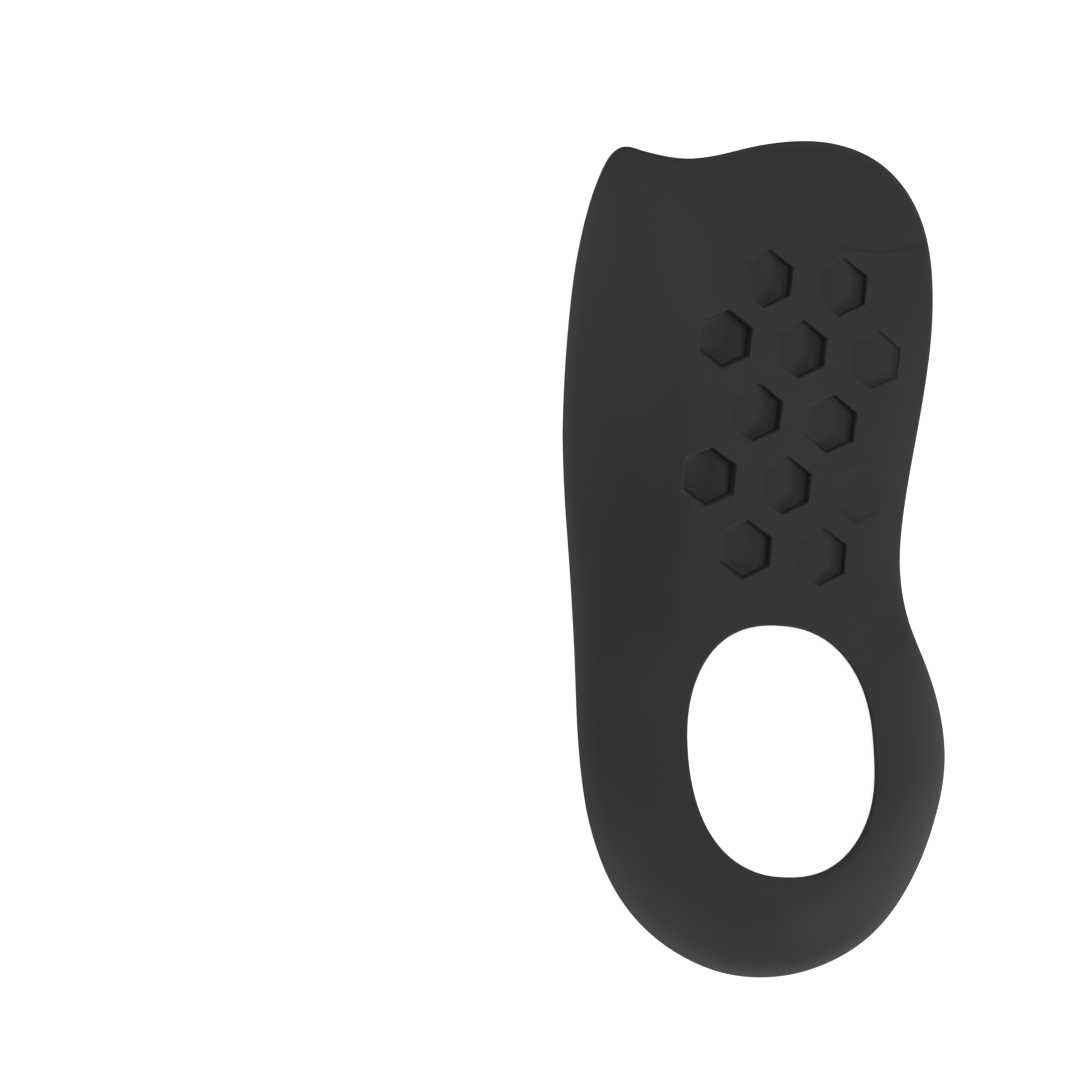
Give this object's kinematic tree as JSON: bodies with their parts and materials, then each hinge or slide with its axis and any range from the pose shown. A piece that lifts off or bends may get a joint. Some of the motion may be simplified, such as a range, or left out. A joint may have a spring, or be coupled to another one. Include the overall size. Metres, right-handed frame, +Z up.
{
  "type": "half insole",
  "caption": "Moulded half-length insole for a flat foot, with a raised arch side, shallow heel cup, oval heel hole and hexagonal pockets in its underside, lying underside up.",
  "frame": {"origin": "centre of the bounding box's bottom, on the surface the insole lies on", "axes": "+Y towards the toes, +X towards the outer side of the foot, +Z up; the underside looks up, because the insole lies face down on its rim"},
  "size_m": [0.0752, 0.1638, 0.0192],
  "materials": {
    "foam": "moulded satin elastomer foam"
  },
  "bodies": {
    "root": {"insole_body": "foam"}
  },
  "joints": []
}
